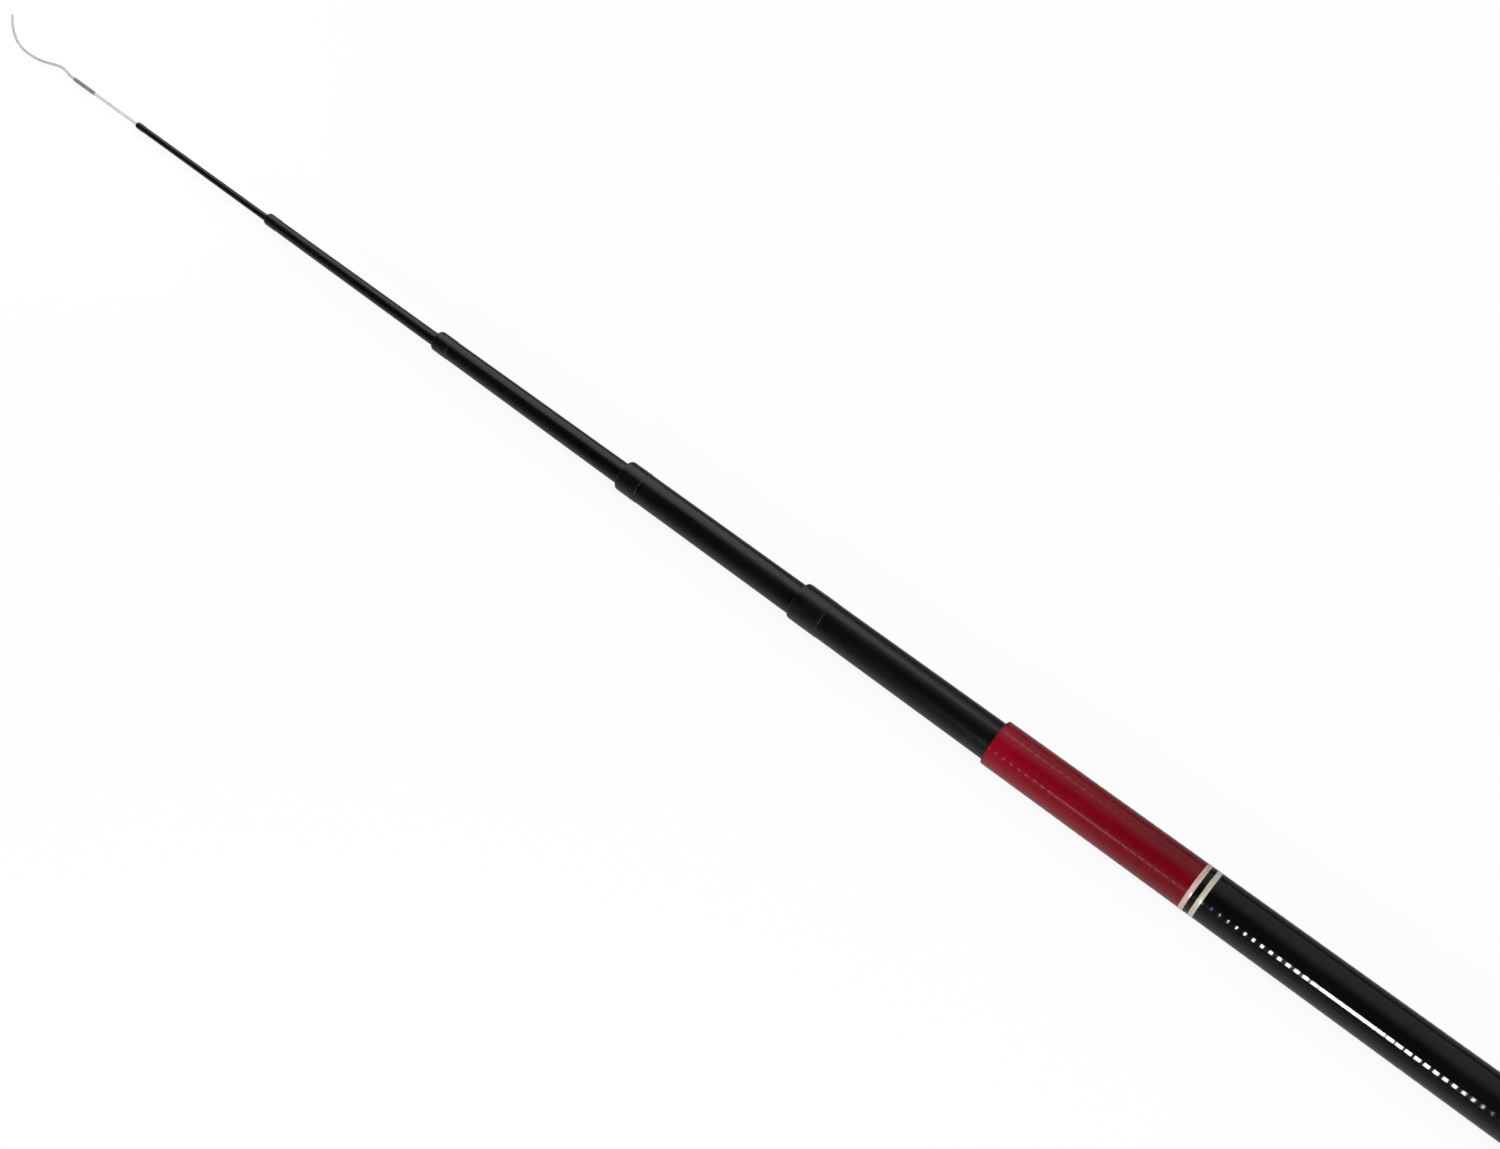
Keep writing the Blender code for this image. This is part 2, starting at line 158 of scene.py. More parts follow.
def turnedMesh(name, profile, axis, segments, shape=None):
    # Turns a profile of (x, radius) about a line along X through axis = (y, z). A profile that runs round
    # a wall gives a ring, and one that starts and ends on the line gives a solid. Shape changes the radii.
    solid = profile[0][1] == 0.0
    rings = np.array(profile[1:-1] if solid else profile)
    angle = np.arange(segments) * turn / segments
    x = np.repeat(rings[:, 0:1], segments, axis=1)
    radius = np.repeat(rings[:, 1:2], segments, axis=1)
    around = np.repeat(angle[None, :], len(rings), axis=0)
    if shape:
        radius = shape(x, radius, around)
    points = np.stack([x, axis[0] + radius * np.sin(around), axis[1] - radius * np.cos(around)], axis=2)
    points = points.reshape(-1, 3)

    count = len(rings)
    rows = np.arange(count - 1 if solid else count)
    here = rows[:, None] * segments + np.arange(segments)[None, :]
    ahead = ((rows + 1) % count)[:, None] * segments + np.arange(segments)[None, :]
    quads = np.stack([here, ahead, np.roll(ahead, -1, axis=1), np.roll(here, -1, axis=1)], axis=2)
    faces = quads.reshape(-1, 4).tolist()
    if solid:
        ends = np.array([[profile[0][0], *axis], [profile[-1][0], *axis]])
        points = np.vstack([points, ends])
        first, last = count * segments, count * segments + 1
        lastRow = (count - 1) * segments
        for i in range(segments):
            j = (i + 1) % segments
            faces.append([first, i, j])
            faces.append([last, lastRow + j, lastRow + i])
    return meshObject(name, points * mm, faces)


def meshObject(name, points, faces):
    mesh = bpy.data.meshes.new(name)
    mesh.from_pydata(points.tolist(), [], faces)
    mesh.update()
    mesh.shade_smooth()
    mesh.set_sharp_from_angle(angle=math.radians(sharpFrom))
    thing = bpy.data.objects.new(name, mesh)
    bpy.context.scene.collection.objects.link(thing)
    return thing


def dress(thing, material, body, node=None):
    thing.data.materials.append(material)
    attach(thing, body)
    if node:
        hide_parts(node)
    return thing


def axisOf(node):
    low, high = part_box(node)
    middle = (low + high) / 2 / mm
    return (middle.y, middle.z)


def endsOf(node):
    low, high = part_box(node)
    return low.x / mm, high.x / mm


def radiiOf(node):
    # Every corner of the solid as (place along the pole, distance from its own axis)
    corners = np.array([v.co[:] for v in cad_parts[node].data.vertices]) / mm
    y, z = axisOf(node)
    return corners[:, 0], np.hypot(corners[:, 1] - y, corners[:, 2] - z)


# How every tube's solid is read, and how its mesh is laid out
tubeLayout = {
    "mouthZone": 1.0,       # length at the mouth over which its radii are read
    "sameRadius": 0.001,    # radii nearer than this are one radius
    "innerLipShare": 0.6,   # of the outer lip
    "boreSpacing": 30.0,    # between the bore's rings
    "boreStart": 1.0,       # from the inner lip to the first of them
}


def measureTube(node):
    # A tapered tube's own measures, read from its solid
    x, r = radiiOf(node)
    base, mouth = endsOf(node)
    atMouth = x > mouth - tubeLayout["mouthZone"]
    baseRadius = r.max()
    mouthRadius = r[atMouth].max()
    return {
        "axis": axisOf(node),
        "mouth": mouth,
        "base": base,
        "mouthRadius": mouthRadius,
        "baseRadius": baseRadius,
        "seat": x[r > baseRadius - tubeLayout["sameRadius"]].max(),
        "wall": mouthRadius - r[atMouth].min(),
    }


def outside(tube, x):
    return float(np.interp(x, [tube["seat"], tube["mouth"]], [tube["baseRadius"], tube["mouthRadius"]]))


def evenly(start, end, spacing):
    return np.linspace(start, end, max(2, math.ceil(abs(end - start) / spacing) + 1))


def tubeLoop(tube, lip, run):
    # Round the wall: mouth lip, the given run of points along the outside, base, and back along the bore
    wall = tube["wall"]
    mouth, base = tube["mouth"], tube["base"]
    mouthRadius, baseRadius = tube["mouthRadius"], tube["baseRadius"]
    inner = lip * tubeLayout["innerLipShare"]
    boreMouth = mouth - inner - tubeLayout["boreStart"]
    loop = arc(mouth - lip, mouthRadius - lip, lip, 0, 90)
    loop += run
    loop += arc(base + lip, baseRadius - lip, lip, 90, 180)
    loop += arc(base + inner, baseRadius - wall + inner, inner, 180, 270)
    places = evenly(tube["seat"], boreMouth, tubeLayout["boreSpacing"])
    loop += [(x, outside(tube, x) - wall) for x in places]
    loop += arc(mouth - inner, mouthRadius - wall + inner, inner, 270, 360)
    return loop


print("line: the braided line's route and weave")

lilian = {
    "diameter": 1.4,
    "strands": 4,          # strands that run each way round
    "weaveLength": 2.6,    # along the line for one turn of a strand
    "weaveDepth": 0.13,    # from the crown of a strand to the gap beside it
    "ringSpacing": 0.11,
    "sides": 28,
    "endRounding": 0.6,    # length of an end's dome, as a share of the radius
    "endShare": 0.3,       # of the radius, left at the very end
    "pathEvery": 8,        # rings between the points of the path that the frame is told
    # In mm from the middle of the sleeve's front face, as the solid's own route
    "route": [
        (0.3, 0.0, 0.0),
        (2.0, 0.0, 0.0),
        (3.5, -0.15, 0.0),
        (6.0, -0.55, 0.0),
        (8.6, -1.0, -0.05),
        (11.5, -1.35, -0.3),
        (15.0, -1.4, -1.0),
        (19.0, -1.15, -2.2),
        (23.7, -0.9, -3.8),
        (28.7, -0.8, -5.5),
        (34.0, -0.85, -7.2),
        (39.0, -0.85, -8.3),
        (43.5, -0.85, -8.68),
        (47.8, -1.05, -8.68),
        (52.4, -1.8, -8.68),
        (57.5, -3.3, -8.68),
        (62.0, -5.3, -8.68),
        (66.1, -7.5, -8.68),
        (69.9, -9.8, -8.68),
        (73.2, -12.1, -8.68),
        (76.2, -14.3, -8.68),
    ],
}


def smoothRoute(points, spacing):
    # The smooth curve through the route's points, read at an even spacing
    steps = 60    # between two points of the route
    points = np.array(points)
    fine = []
    for i in range(len(points) - 1):
        before = points[max(i - 1, 0)]
        start, end = points[i], points[i + 1]
        after = points[min(i + 2, len(points) - 1)]
        for u in np.linspace(0, 1, steps, endpoint=False):
            fine.append(0.5 * (
                2 * start + (end - before) * u
                + (2 * before - 5 * start + 4 * end - after) * u**2
                + (3 * start - before - 3 * end + after) * u**3
            ))
    fine = np.array(fine + [points[-1]])
    walked = np.concatenate([[0], np.cumsum(np.linalg.norm(np.diff(fine, axis=0), axis=1))])
    places = np.linspace(0, walked[-1], round(walked[-1] / spacing) + 1)
    even = np.stack([np.interp(places, walked, fine[:, k]) for k in range(3)], axis=1)
    return even, walked[-1]


def weave(along, around, radius, settings):
    # Strands that cross both ways leave a bump at every crossing and a dimple between
    phase = turn * along / settings["weaveLength"]
    strands = settings["strands"]
    crossing = np.cos(strands * around + phase) * np.cos(strands * around - phase)
    return radius - settings["weaveDepth"] * (0.5 - 0.5 * crossing)


def braidedTube(name, path, settings):
    radius = settings["diameter"] / 2
    sides = settings["sides"]
    ahead = np.gradient(path, axis=0)
    ahead /= np.linalg.norm(ahead, axis=1)[:, None]
    side = np.cross(ahead, (0.0, 0.0, 1.0))
    side /= np.linalg.norm(side, axis=1)[:, None]
    top = np.cross(side, ahead)
    along = np.concatenate([[0], np.cumsum(np.linalg.norm(np.diff(path, axis=0), axis=1))])
    around = np.arange(sides) * turn / sides
    ringRadius = weave(along[:, None], around[None, :], radius, settings)

    # Both ends close in a short dome, where the cut braid has been sealed with heat
    fromEnd = np.minimum(along, along[-1] - along)[:, None]
    rounded = 1 - (1 - np.clip(fromEnd / (radius * settings["endRounding"]), 0, 1)) ** 2
    dome = np.sqrt(np.clip(rounded, settings["endShare"] ** 2, 1))
    ringRadius = ringRadius * dome
    points = (
        path[:, None, :]
        + side[:, None, :] * (ringRadius * np.cos(around))[:, :, None]
        + top[:, None, :] * (ringRadius * np.sin(around))[:, :, None]
    ).reshape(-1, 3)
    count = len(path)
    here = np.arange(count - 1)[:, None] * sides + np.arange(sides)[None, :]
    beside = np.roll(here, -1, axis=1)
    quads = np.stack([here, beside, beside + sides, here + sides], axis=2)
    faces = quads.reshape(-1, 4).tolist()
    faces.append(list(range(sides))[::-1])
    faces.append(list(range((count - 1) * sides, count * sides)))
    return meshObject(name, points * mm, faces)


def makeLilian(material):
    front = endsOf("tip_sleeve")[1]
    y, z = axisOf("tip_sleeve")
    route = [(front + a, y + b, z + c) for a, b, c in lilian["route"]]
    path, length = smoothRoute(route, lilian["ringSpacing"])
    line = braidedTube("lilian_line", path, lilian)
    dress(line, material, "tip", "lilian")


print("finishes: one material for each real surface")

# A finish's sizes are in mm, as (along the pole, round it). Its roughness is given at the low and the high
# end of the pattern that it follows.
noiseSpan = (0.3, 0.7)    # noise seldom leaves this span, so colours and roughness are spread over it


def surfacePattern(tree, size, detail, fineShare=0.5):
    # Noise over the surface that repeats at this size. The fine share is how strongly its finest layers show.
    place = addNode(tree, "ShaderNodeTexCoord").outputs["Object"]
    scaled = addNode(tree, "ShaderNodeMapping", {"Vector": place, "Scale": repeats(*size)})
    return addNode(tree, "ShaderNodeTexNoise", {
        "Vector": scaled, "Scale": 1.0, "Detail": detail, "Roughness": fineShare,
    })


def blendColours(tree, variation, first, second, span=noiseSpan):
    # Goes from the first colour to the second over the span. A colour is a hex text or another node.
    share = addNode(tree, "ShaderNodeMapRange", {
        "Value": variation, "From Min": span[0], "From Max": span[1],
    })
    first, second = [hexColour(c) if isinstance(c, str) else c for c in (first, second)]
    return addNode(tree, "ShaderNodeMix", {0: share, 6: first, 7: second}, data_type="RGBA")


def closeMaterial(tree, variation, roughness, inputs, span=noiseSpan):
    # Ends a material in a shader whose roughness follows the variation
    varied = addNode(tree, "ShaderNodeMapRange", {
        "Value": variation, "From Min": span[0], "From Max": span[1],
        "To Min": roughness[0], "To Max": roughness[1],
    })
    shader = addNode(tree, "ShaderNodeBsdfPrincipled", {"Roughness": varied, **inputs})
    addNode(tree, "ShaderNodeOutputMaterial", {"Surface": shader})


tapeLacquer = {
    "darkest": "#08090a", "lightest": "#101215",
    "cloud": (60.0, 18.0), "smear": (22.0, 6.0), "roughness": (0.05, 0.11),
    "peel": (2.4, 1.6), "peelDepth": 0.004,
}


def makeTapeLacquer():
    # Black lacquer dipped over a tape-wrapped blank: near black and wet gloss, with a faint orange peel,
    # and smears from handling that soften the edge of a lamp's reflection here and there
    material, tree = startMaterial("dipped_black_lacquer")
    cloud = surfacePattern(tree, tapeLacquer["cloud"], detail=2.0)
    smear = surfacePattern(tree, tapeLacquer["smear"], detail=4.0, fineShare=0.6)
    peel = surfacePattern(tree, tapeLacquer["peel"], detail=1.0)
    closeMaterial(tree, smear, tapeLacquer["roughness"], {
        "Base Color": blendColours(tree, cloud, tapeLacquer["darkest"], tapeLacquer["lightest"]),
        "Normal": addNode(tree, "ShaderNodeBump", {
            "Height": peel, "Distance": tapeLacquer["peelDepth"] * mm,
        }),
        "IOR": 1.5,
    })
    return material


redLacquer = {
    "mouthDark": "#7a0318", "mouthLight": "#920622",
    "rearDark": "#62020b", "rearLight": "#760313",
    "deepShare": 0.2,      # share of the wrap, from its rear, that keeps the deep colour
    "fibre": (14.0, 0.5), "roughness": (0.34, 0.46),
    "peel": (2.4, 1.6), "peelDepth": 0.004,
    "specularLevel": 0.06, "coatWeight": 0.8, "coatRoughness": 0.09,
}


def makeRedLacquer():
    # Crimson candy lacquer over the reinforcing wrap: the colour lies deep under a clear wet top coat, and
    # darkens away from the mouth. The wrap's fibres show as fine long streaks.
    material, tree = startMaterial("crimson_candy_lacquer")
    rear, front = [corner.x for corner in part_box("front_wrap")]
    deepEnd = rear + redLacquer["deepShare"] * (front - rear)
    place = addNode(tree, "ShaderNodeTexCoord").outputs["Object"]
    parts = addNode(tree, "ShaderNodeSeparateXYZ", {"Vector": place})
    fibre = surfacePattern(tree, redLacquer["fibre"], detail=3.0, fineShare=0.6)
    peel = surfacePattern(tree, redLacquer["peel"], detail=1.0)
    skin = addNode(tree, "ShaderNodeBump", {"Height": peel, "Distance": redLacquer["peelDepth"] * mm})
    atRear = blendColours(tree, fibre, redLacquer["rearDark"], redLacquer["rearLight"])
    atMouth = blendColours(tree, fibre, redLacquer["mouthDark"], redLacquer["mouthLight"])
    closeMaterial(tree, fibre, redLacquer["roughness"], {
        "Base Color": blendColours(tree, parts.outputs["X"], atRear, atMouth, (deepEnd, front)),
        "Normal": skin, "IOR": 1.5, "Specular IOR Level": redLacquer["specularLevel"],
        "Coat Weight": redLacquer["coatWeight"], "Coat Roughness": redLacquer["coatRoughness"],
        "Coat IOR": 1.5, "Coat Normal": skin,
    })
    return material


creamEnamel = {
    "pinkDark": "#c49c90", "pinkLight": "#dcc0b4",     # the front ring, with the red showing through
    "plainDark": "#b4ac98", "plainLight": "#d4cebc",   # the rear ring
    "brushMark": (0.5, 4.0), "roughness": (0.2, 0.32),
    "coatWeight": 0.4, "coatRoughness": 0.1,
}


def makeCreamEnamel(cast):
    # Enamel laid on with a brush while the tube turns: cream with marks that run round the ring, where the
    # enamel is thinner, and a soft gloss
    material, tree = startMaterial(cast + "_cream_enamel")
    mark = surfacePattern(tree, creamEnamel["brushMark"], detail=3.0)
    closeMaterial(tree, mark, creamEnamel["roughness"], {
        "Base Color": blendColours(tree, mark, creamEnamel[cast + "Dark"], creamEnamel[cast + "Light"]),
        "IOR": 1.5,
        "Coat Weight": creamEnamel["coatWeight"], "Coat Roughness": creamEnamel["coatRoughness"],
    })
    return material


sandedBlank = {
    "darkest": "#060606", "fibreDark": "#080808", "fibreLight": "#0f0f0f",
    "fibre": (40.0, 0.35), "patch": (26.0, 7.0), "roughness": (0.2, 0.28),
    "sandingMark": (0.25, 30.0),   # coarser than the real grit, so that it shows
    "markDepth": 0.006,
}


def makeSandedBlank():
    # Resin-bonded fibre, sanded in a lathe and wiped with satin varnish: soft black, with fine marks round
    # the tube, patches where the varnish is thin, and the cloth's long fibres faintly under it
    material, tree = startMaterial("sanded_satin_blank")
    fibre = surfacePattern(tree, sandedBlank["fibre"], detail=3.0, fineShare=0.6)
    patch = surfacePattern(tree, sandedBlank["patch"], detail=3.0, fineShare=0.55)
    mark = surfacePattern(tree, sandedBlank["sandingMark"], detail=2.0, fineShare=0.7)
    cloth = blendColours(tree, fibre, sandedBlank["fibreDark"], sandedBlank["fibreLight"])
    closeMaterial(tree, patch, sandedBlank["roughness"], {
        "Base Color": blendColours(tree, patch, sandedBlank["darkest"], cloth),
        "Normal": addNode(tree, "ShaderNodeBump", {
            "Height": mark, "Distance": sandedBlank["markDepth"] * mm, "Strength": 0.6,
        }),
        "IOR": 1.5,
    })
    return material


boreResin = {"darkest": "#141210", "lightest": "#201c18", "streak": (12.0, 2.0), "roughness": (0.45, 0.65)}


def makeBoreResin():
    # The inside of a tube as it leaves the mandrel: bare cured resin, dull brownish black, with drawn streaks
    material, tree = startMaterial("bare_bore_resin")
    streak = surfacePattern(tree, boreResin["streak"], detail=3.0)
    closeMaterial(tree, streak, boreResin["roughness"], {
        "Base Color": blendColours(tree, streak, boreResin["darkest"], boreResin["lightest"]), "IOR": 1.5,
    })
    return material


wornEdgeAndHighlight = {
    "varnished": "#101010", "bare": "#5e5e5c", "roughness": (0.3, 0.6),
    "wear": (3.0, 3.0), "wornSpan": (0.48, 0.72),   # the high part of the noise is where it is pale: worn, and on each binding's rear ring also a painted highlight
}


def makeWornEdgeAndHighlight():
    # Edges where the sections rub and knock: most of the varnish is left, and where it has worn through,
    # pale dull resin shows in patches. On the ring at the rear of each binding, the pale patches are partly
    # wear and partly a painted highlight of the varnish's edge.
    material, tree = startMaterial("worn_resin_edge_and_painted_highlight")
    wear = surfacePattern(tree, wornEdgeAndHighlight["wear"], detail=4.0, fineShare=0.65)
    worn = wornEdgeAndHighlight["wornSpan"]
    closeMaterial(tree, wear, wornEdgeAndHighlight["roughness"], {
        "Base Color": blendColours(tree, wear, wornEdgeAndHighlight["varnished"], wornEdgeAndHighlight["bare"], worn), "IOR": 1.5,
    }, worn)
    return material


varnishedThread = {"darkest": "#070708", "lightest": "#121214", "turn": (0.5, 6.0), "roughness": (0.14, 0.24)}


def makeVarnishedThread():
    # Black thread wound tight and sealed with clear varnish: a little glossier than the blank beside it,
    # with one turn lighter than the next
    material, tree = startMaterial("varnished_black_thread")
    turns = surfacePattern(tree, varnishedThread["turn"], detail=2.0)
    closeMaterial(tree, turns, varnishedThread["roughness"], {
        "Base Color": blendColours(tree, turns, varnishedThread["darkest"], varnishedThread["lightest"]),
        "IOR": 1.52,
    })
    return material


glassFibre = {
    "darkest": "#c8c8c4", "lightest": "#dededa",
    "fibre": (12.0, 0.12), "fibreDepth": 0.004, "roughness": (0.3, 0.45),
    "milkiness": 0.15, "lightReach": (0.0006, 0.0006, 0.0005),   # metres that red, green and blue reach
}


def makeGlassFibre():
    # Solid glass fibre ground to a taper: pale and slightly milky, with long straight fibres in it
    material, tree = startMaterial("ground_glass_fibre")
    fibre = surfacePattern(tree, glassFibre["fibre"], detail=3.0, fineShare=0.6)
    closeMaterial(tree, fibre, glassFibre["roughness"], {
        "Base Color": blendColours(tree, fibre, glassFibre["darkest"], glassFibre["lightest"]),
        "Normal": addNode(tree, "ShaderNodeBump", {
            "Height": fibre, "Distance": glassFibre["fibreDepth"] * mm, "Strength": 0.5,
        }),
        "IOR": 1.53, "Subsurface Weight": glassFibre["milkiness"],
        "Subsurface Radius": glassFibre["lightReach"], "Subsurface Scale": 1.0,
    })
    return material


whippingThread = {
    "darkest": "#666668", "lightest": "#8c8c8e",
    "turn": (0.36, 1.6), "roughness": (0.45, 0.65),
    "sheen": 0.2, "sheenRoughness": 0.4,
}


def makeWhippingThread():
    # Grey nylon thread whipped over the joint and wetted with glue: dull, with drier and paler turns
    material, tree = startMaterial("whipped_nylon_thread")
    turns = surfacePattern(tree, whippingThread["turn"], detail=3.0)
    closeMaterial(tree, turns, whippingThread["roughness"], {
        "Base Color": blendColours(tree, turns, whippingThread["darkest"], whippingThread["lightest"]),
        "IOR": 1.53,
        "Sheen Weight": whippingThread["sheen"], "Sheen Roughness": whippingThread["sheenRoughness"],
    })
    return material


braid = {
    "yarnDark": "#b2b2b1", "dirtyLight": "#c4c4c2", "cleanLight": "#d6d6d4",
    "yarn": (0.25, 0.08), "yarnDepth": 0.01, "dirt": (6.0, 2.0), "roughness": (0.65, 0.85),
    "sheen": 0.3, "sheenRoughness": 0.5,
}


def makeBraid():
    # Braided polyester: pale grey strands with a soft sheen, fuzzy fine yarn, and dirt here and there
    material, tree = startMaterial("braided_polyester")
    yarn = surfacePattern(tree, braid["yarn"], detail=3.0, fineShare=0.7)
    dirt = surfacePattern(tree, braid["dirt"], detail=2.0)
    strands = blendColours(tree, dirt, braid["dirtyLight"], braid["cleanLight"])
    closeMaterial(tree, yarn, braid["roughness"], {
        "Base Color": blendColours(tree, yarn, braid["yarnDark"], strands),
        "Normal": addNode(tree, "ShaderNodeBump", {
            "Height": yarn, "Distance": braid["yarnDepth"] * mm, "Strength": 0.6,
        }),
        "IOR": 1.5, "Sheen Weight": braid["sheen"], "Sheen Roughness": braid["sheenRoughness"],
    })
    return material


mouldedPlastic = {
    "darkest": "#121213", "lightest": "#1a1a1b",
    "flow": (6.0, 6.0), "spark": (0.3, 0.3), "sparkDepth": 0.012, "roughness": (0.52, 0.36),
}


def makeMouldedPlastic():
    # ABS moulded in a spark-eroded tool: black, with an even fine grain, duller in its pits than on its tops
    material, tree = startMaterial("moulded_black_abs")
    flow = surfacePattern(tree, mouldedPlastic["flow"], detail=2.0)
    spark = surfacePattern(tree, mouldedPlastic["spark"], detail=2.0, fineShare=0.6)
    closeMaterial(tree, spark, mouldedPlastic["roughness"], {
        "Base Color": blendColours(tree, flow, mouldedPlastic["darkest"], mouldedPlastic["lightest"]),
        "Normal": addNode(tree, "ShaderNodeBump", {
            "Height": spark, "Distance": mouldedPlastic["sparkDepth"] * mm, "Strength": 0.7,
        }),
        "IOR": 1.53,
    })
    return material


foamRubber = {
    # The pore colour is painted shade in the pores' hollows
    "pore": "#18181a", "skin": "#343437",
    "poreSize": (0.45, 0.45), "poreEdge": 0.6, "poreDepth": 0.06,
    "dirt": (1.0, 1.0), "roughness": (0.82, 0.95),
}


def makeFoamRubber():
    # Closed-cell foam rubber cut from sheet: charcoal and dead matte, with open pores on the cut face, whose
    # hollows are painted darker as shade
    material, tree = startMaterial("cut_foam_rubber")
    place = addNode(tree, "ShaderNodeTexCoord").outputs["Object"]
    scaled = addNode(tree, "ShaderNodeMapping", {"Vector": place, "Scale": repeats(*foamRubber["poreSize"])})
    pores = addNode(tree, "ShaderNodeTexVoronoi", {"Vector": scaled, "Scale": 1.0}).outputs["Distance"]
    dirt = surfacePattern(tree, foamRubber["dirt"], detail=2.0)
    toEdge = (0.0, foamRubber["poreEdge"])
    closeMaterial(tree, dirt, foamRubber["roughness"], {
        # Painted shade: darker towards each pore's middle, where the bump is lowest
        "Base Color": blendColours(tree, pores, foamRubber["pore"], foamRubber["skin"], toEdge),
        "Normal": addNode(tree, "ShaderNodeBump", {
            "Height": pores, "Distance": foamRubber["poreDepth"] * mm, "Strength": 0.8,
        }),
        "IOR": 1.5,
    })
    return material


sealRubber = {"clean": "#101010", "dusty": "#1d1d1c", "dust": (1.5, 1.5), "roughness": (0.5, 0.7)}


def makeSealRubber():
    # Moulded nitrile rubber ring: smooth black, greyer and duller where dust has settled
    material, tree = startMaterial("moulded_nitrile")
    dust = surfacePattern(tree, sealRubber["dust"], detail=4.0, fineShare=0.6)
    closeMaterial(tree, dust, sealRubber["roughness"], {
        "Base Color": blendColours(tree, dust, sealRubber["clean"], sealRubber["dusty"]), "IOR": 1.52,
    })
    return material


finish = {
    "tapeLacquer": makeTapeLacquer(),
    "redLacquer": makeRedLacquer(),
    "trim_ring_front": makeCreamEnamel("pink"),
    "trim_ring_rear": makeCreamEnamel("plain"),
    "sandedBlank": makeSandedBlank(),
    "boreResin": makeBoreResin(),
    "wornEdgeAndHighlight": makeWornEdgeAndHighlight(),
    "varnishedThread": makeVarnishedThread(),
    "glassFibre": makeGlassFibre(),
    "whippingThread": makeWhippingThread(),
    "braid": makeBraid(),
    "mouldedPlastic": makeMouldedPlastic(),
    "foamRubber": makeFoamRubber(),
    "sealRubber": makeSealRubber(),
}


def paintTube(thing, tube, rim):
    # The bore and the base take the bare resin, and the mouth's rim the rubbed edge
    thing.data.materials.append(finish["boreResin"])
    thing.data.materials.append(finish["wornEdgeAndHighlight"])
    y, z = tube["axis"]
    mesh = thing.data
    centres = np.zeros(len(mesh.polygons) * 3, np.float32)
    mesh.polygons.foreach_get("center", centres)
    centres = centres.reshape(-1, 3) / mm
    radius = np.hypot(centres[:, 1] - y, centres[:, 2] - z)
    ends = [tube["seat"], tube["mouth"]]
    limit = np.interp(centres[:, 0], ends, [tube["baseRadius"], tube["mouthRadius"]])
    inside = radius < limit - tube["wall"] * 0.5
    atRim = (centres[:, 0] > tube["mouth"] - rim) & ~inside
    mesh.polygons.foreach_set("material_index", np.where(inside, 1, np.where(atRim, 2, 0)).astype(np.int32))
    mesh.update()


makeLilian(finish["braid"])


print("butt: lacquered tube with tape ridges, red wrap and trim rings")

butt = {
    "sides": 96,
    "lip": 0.22,
    "tapePitch": 3.7,      # one turn of the wrapping tape
    "ridgeDepth": 0.036,   # from the tape's edge down to its middle, under the lacquer
    "wrapRidgeDepth": 0.035,
    "ridgeSkew": 0.62,     # share of the pitch over which the surface falls towards the tip
    "ringsPerRidge": 9,
    "layerGap": 0.03,
    "inlayDepth": 0.3,
    "inlayEdge": 0.06,     # chamfer on the wrap's and the rings' edges
    "ringCrown": 0.05,
    "rubbedRim": 0.12,
}


def tapeRidges(depth, floor):
    # The tape's overlapping edge climbs round the tube, steep on one side and slow on the other
    def shape(x, radius, around):
        place = (x / butt["tapePitch"] + around / turn) % 1.0
        skew = butt["ridgeSkew"]
        eased = np.where(place < skew, 0.5 * place / skew, 0.5 + 0.5 * (place - skew) / (1 - skew))
        fall = 0.5 - 0.5 * np.cos(turn * eased)
        return np.where(radius > floor, radius - depth * fall, radius)
    return shape


def makeButt():
    tube = measureTube("butt_tube")
    inlays = [endsOf("front_wrap"), endsOf("trim_ring_front"), endsOf("trim_ring_rear")]
    gap = butt["layerGap"]
    floorDepth = butt["inlayDepth"] + gap
    ringEvery = butt["tapePitch"] / butt["ringsPerRidge"]
    grooves = [(inlays[0][1] + gap, inlays[1][0] - gap), (inlays[2][1] + gap, inlays[2][0] - gap)]
    run = []
    start = tube["mouth"] - butt["lip"]
    for front, rear in grooves:
        run += [(x, outside(tube, x)) for x in evenly(start, front, ringEvery)[1:]]
        run += [(x, outside(tube, x) - floorDepth) for x in (front, rear)]
        run += [(rear, outside(tube, rear))]
        start = rear
    run += [(x, outside(tube, x)) for x in evenly(start, tube["base"] + butt["lip"], ringEvery)[1:-1]]
    floor = tube["mouthRadius"] - butt["inlayDepth"] * 0.5
    loop = tubeLoop(tube, butt["lip"], run)
    ridges = tapeRidges(butt["ridgeDepth"], floor)
    thing = turnedMesh("butt_lacquered_tube", loop, tube["axis"], butt["sides"], ridges)
    dress(thing, finish["tapeLacquer"], "butt", "butt_tube")
    paintTube(thing, tube, butt["rubbedRim"])
    return tube


def makeInlay(name, node, material, crown, depth):
    rear, front = endsOf(node)
    inner = butt["inlayDepth"]
    middle = (front + rear) / 2
    half = (front - rear) / 2
    spacing = butt["tapePitch"] / butt["ringsPerRidge"]
    edge = butt["inlayEdge"]
    places = evenly(front - edge, rear + edge, spacing if depth else spacing / 3)

    def face(x):
        return outside(buttTube, x) + crown * (1 - ((x - middle) / half) ** 2)

    loop = [(front, face(front) - edge)]
    loop += [(x, face(x)) for x in places]
    loop += [(rear, face(rear) - edge)]
    loop += [(x, outside(buttTube, x) - inner) for x in (rear, front)]
    floor = buttTube["mouthRadius"] - inner * 0.5
    shape = tapeRidges(depth, floor) if depth else None
    thing = turnedMesh(name, loop, buttTube["axis"], butt["sides"], shape)
    dress(thing, material, "butt", node)


buttTube = makeButt()
ridgeDepth = butt["wrapRidgeDepth"]
makeInlay("red_lacquered_wrap", "front_wrap", finish["redLacquer"], 0.0, ridgeDepth)
for ring in ("trim_ring_front", "trim_ring_rear"):
    makeInlay("cream_" + ring, ring, finish[ring], butt["ringCrown"], 0.0)


print("sections: five sanded tubes with varnished thread bindings")

